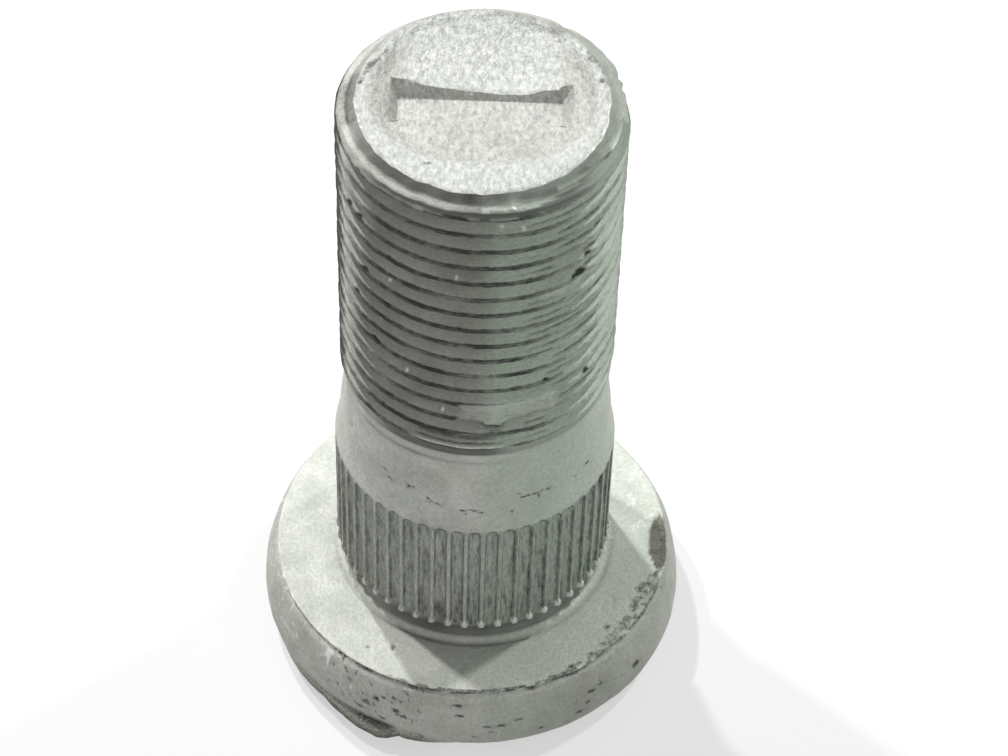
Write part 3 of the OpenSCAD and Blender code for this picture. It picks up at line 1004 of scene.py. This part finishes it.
# grit of the blasted forging shows as 0.3 mm specks, ten times a coat flake
mesh.materials.append(zinc_flake_coat(
    "zinc_flake_coat_on_forged_steel", "#d3d5cd", "#bdc0b7", "#bbc6b8", "#4c4e48", 0.3, 0.16, 70))
# rolled grooves drag the grain along the shank
mesh.materials.append(zinc_flake_coat(
    "zinc_flake_coat_on_serrations", "#b9bcb4", "#a6a9a1", "#aab5a8", "#454742", 0.17, 0.34, 60,
    ragged_mm=0.2, ragged=0.2, drawn=(1.0, 1.0, 0.25)))
# the rolled thread took less coat; rolling drew its marks out round the stud
mesh.materials.append(zinc_flake_coat(
    "zinc_flake_coat_on_rolled_thread", "#bdbfb7", "#a4a69e", "#c6d2c4", "#343631", 0.28, 0.2, 50,
    ragged_mm=0.5, ragged=0.15, drawn=(1.0, 1.0, 4.0), cloud_mm=3.4))
# a sheared end is crystalline: small facets that catch the light
mesh.materials.append(zinc_flake_coat(
    "zinc_flake_coat_on_sheared_end", "#bec0ba", "#b3b5ae", "#b3b5ae", "#6f716a", 0.31, 0.34, 170,
    drawn=(1.0, 0.55, 1.0)))


# floor, lamps and the room
def white_seen(tree):
    """Light Path share that is 1 where the camera or a reflection looks."""
    path = node(tree, "ShaderNodeLightPath").outputs
    seen = node(tree, "ShaderNodeMath", {0: path["Is Camera Ray"], 1: path["Is Glossy Ray"]},
                operation="MAXIMUM").outputs[0]
    return node(tree, "ShaderNodeMath", {0: seen, 1: path["Is Transmission Ray"]},
                operation="MAXIMUM").outputs[0]


# the floor in metres: half its width, and how far it lies under the stud
FLOOR_HALF = 3
FLOOR_DROP = 0.00005
floor_mesh = bpy.data.meshes.new("floor")
floor_mesh.from_pydata([(x * FLOOR_HALF, y * FLOOR_HALF, -FLOOR_DROP)
                        for x, y in ((-1, -1), (1, -1), (1, 1), (-1, 1))], [], [(0, 1, 2, 3)])
floor = bpy.data.objects.new("floor", floor_mesh)
bpy.context.scene.collection.objects.link(floor)
paper = bpy.data.materials.new("pale_studio_paper")
paper.use_nodes = True
tree = paper.node_tree
tree.nodes.clear()
seen = white_seen(tree)
tint = node(tree, "ShaderNodeMix", {0: seen, 6: (0.55, 0.55, 0.55, 1), 7: (0.9, 0.9, 0.9, 1)},
            data_type="RGBA").outputs[2]
matt = node(tree, "ShaderNodeBsdfDiffuse", {0: tint}).outputs[0]
glow = node(tree, "ShaderNodeEmission", {0: (1, 1, 1, 1), 1: 1.0}).outputs[0]
share = node(tree, "ShaderNodeMath", {0: seen, 1: 0.55}, operation="MULTIPLY").outputs[0]
both = node(tree, "ShaderNodeMixShader", {0: share, 1: matt, 2: glow}).outputs[0]
node(tree, "ShaderNodeOutputMaterial", {0: both})
floor_mesh.materials.append(paper)

world = bpy.data.worlds.new("studio")
bpy.context.scene.world = world
world.use_nodes = True
tree = world.node_tree
tree.nodes.clear()
seen = white_seen(tree)
room = node(tree, "ShaderNodeBackground", {0: (0.95, 1.0, 0.96, 1), 1: 0.22}).outputs[0]
white = node(tree, "ShaderNodeBackground", {0: (1, 1, 1, 1), 1: 1.0}).outputs[0]
both = node(tree, "ShaderNodeMixShader", {0: seen, 1: room, 2: white}).outputs[0]
node(tree, "ShaderNodeOutputWorld", {0: both})


# where the lamps look, in metres
LAMP_AIM = Vector((0, 0, 0.02))


def lamp(name, azimuth, elevation, reach, size, watts):
    """Square soft lamp that looks at the middle of the stud."""
    light = bpy.data.lights.new(name, "AREA")
    light.size = size
    light.energy = watts
    holder = bpy.data.objects.new(name, light)
    bpy.context.scene.collection.objects.link(holder)
    a, e = math.radians(azimuth), math.radians(elevation)
    way = Vector((math.cos(a) * math.cos(e), math.sin(a) * math.cos(e), math.sin(e)))
    holder.location = LAMP_AIM + way * reach
    holder.rotation_euler = (-way).to_track_quat("-Z", "Y").to_euler()


lamp("key_back_left", 120, 50, 0.6, 0.02, 1.85)
lamp("key_left", 139, 52, 0.6, 0.025, 1.75)
lamp("back_right", 39, 50, 0.6, 0.03, 1.25)
lamp("soft_front_right", 312, 20, 0.8, 0.5, 0.9)

# camera, fitted to the photograph: angles in radians, place and lens in mm
ELEVATION = 0.8362179
ROLL = 0.0349484
CAMERA_PLACE = Vector((2.027, -145.894, 186.253))
LENS = 106.63
camera = bpy.data.objects.new("camera", bpy.data.cameras.new("camera"))
bpy.context.scene.collection.objects.link(camera)
bpy.context.scene.camera = camera
camera.data.sensor_width = 36
camera.data.lens = LENS
camera.data.clip_start = 0.01
look = Vector((0, math.cos(ELEVATION), -math.sin(ELEVATION)))
level = Vector((1, 0, 0))
lift = Vector((0, math.sin(ELEVATION), math.cos(ELEVATION)))
right = math.cos(ROLL) * level + math.sin(ROLL) * lift
up = -math.sin(ROLL) * level + math.cos(ROLL) * lift
turned = Matrix((right, up, -look)).transposed().to_4x4()
camera.matrix_world = Matrix.Translation(CAMERA_PLACE * MM) @ turned

bpy.context.scene.view_settings.view_transform = "Standard"
